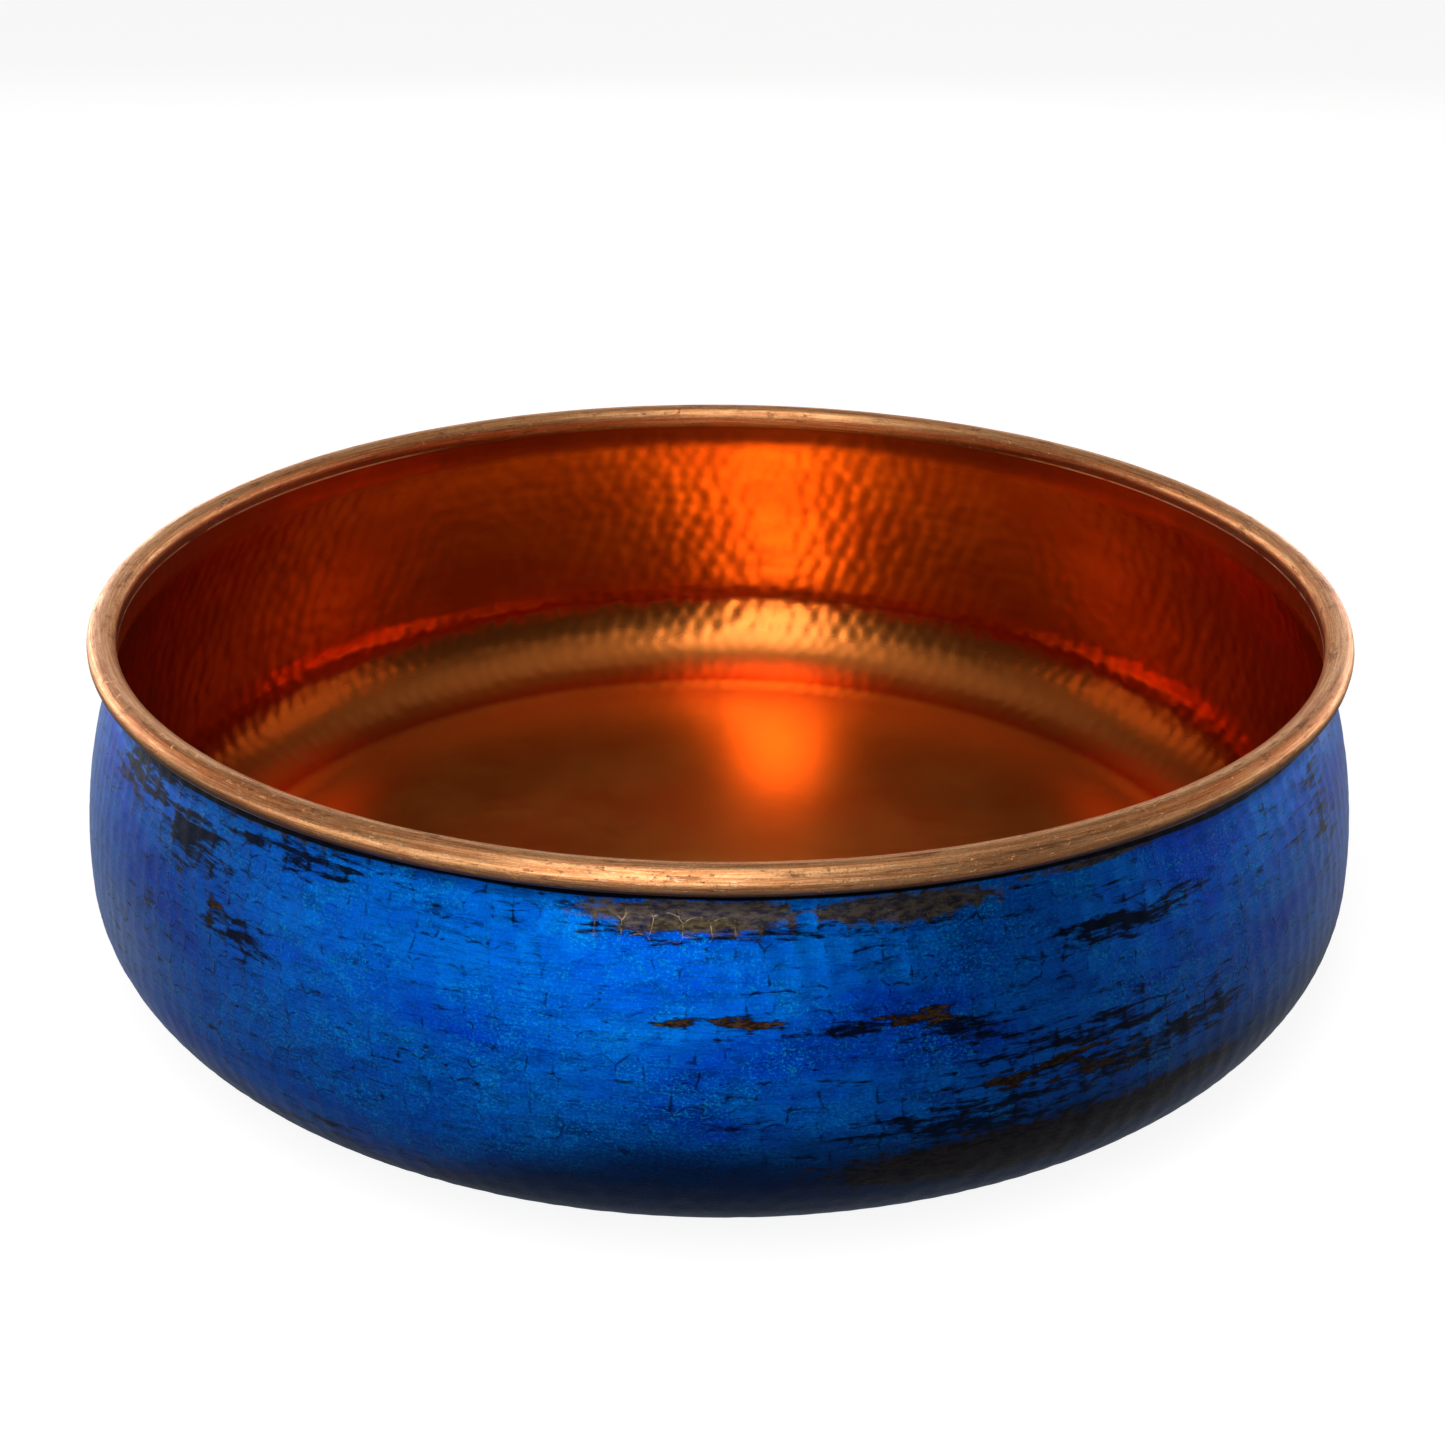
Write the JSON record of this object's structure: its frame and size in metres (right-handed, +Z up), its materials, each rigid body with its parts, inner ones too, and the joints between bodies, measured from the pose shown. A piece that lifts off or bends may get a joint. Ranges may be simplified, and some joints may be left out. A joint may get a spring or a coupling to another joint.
{
  "type": "hammered bowl",
  "caption": "Round open bowl of hammered copper sheet with a bulging wall, a rounded lower corner, a flat underside and a rolled, wire-cored rim.",
  "frame": {"origin": "centre of the flat underside, on the surface that the bowl stands on", "axes": "+Z up along the axis of revolution, out of the bowl's mouth; X and Y lie in the underside"},
  "size_m": [0.413, 0.413, 0.117],
  "materials": {
    "bowl_copper": "blue patina worn through to dark copper outside, polished and lacquered copper inside",
    "rim_copper": "satin antiqued copper",
    "wire_copper": "drawn copper wire"
  },
  "bodies": {
    "root": {"bowl_body": "bowl_copper", "rim_band": "rim_copper", "rim_core_wire": "wire_copper"}
  },
  "joints": []
}
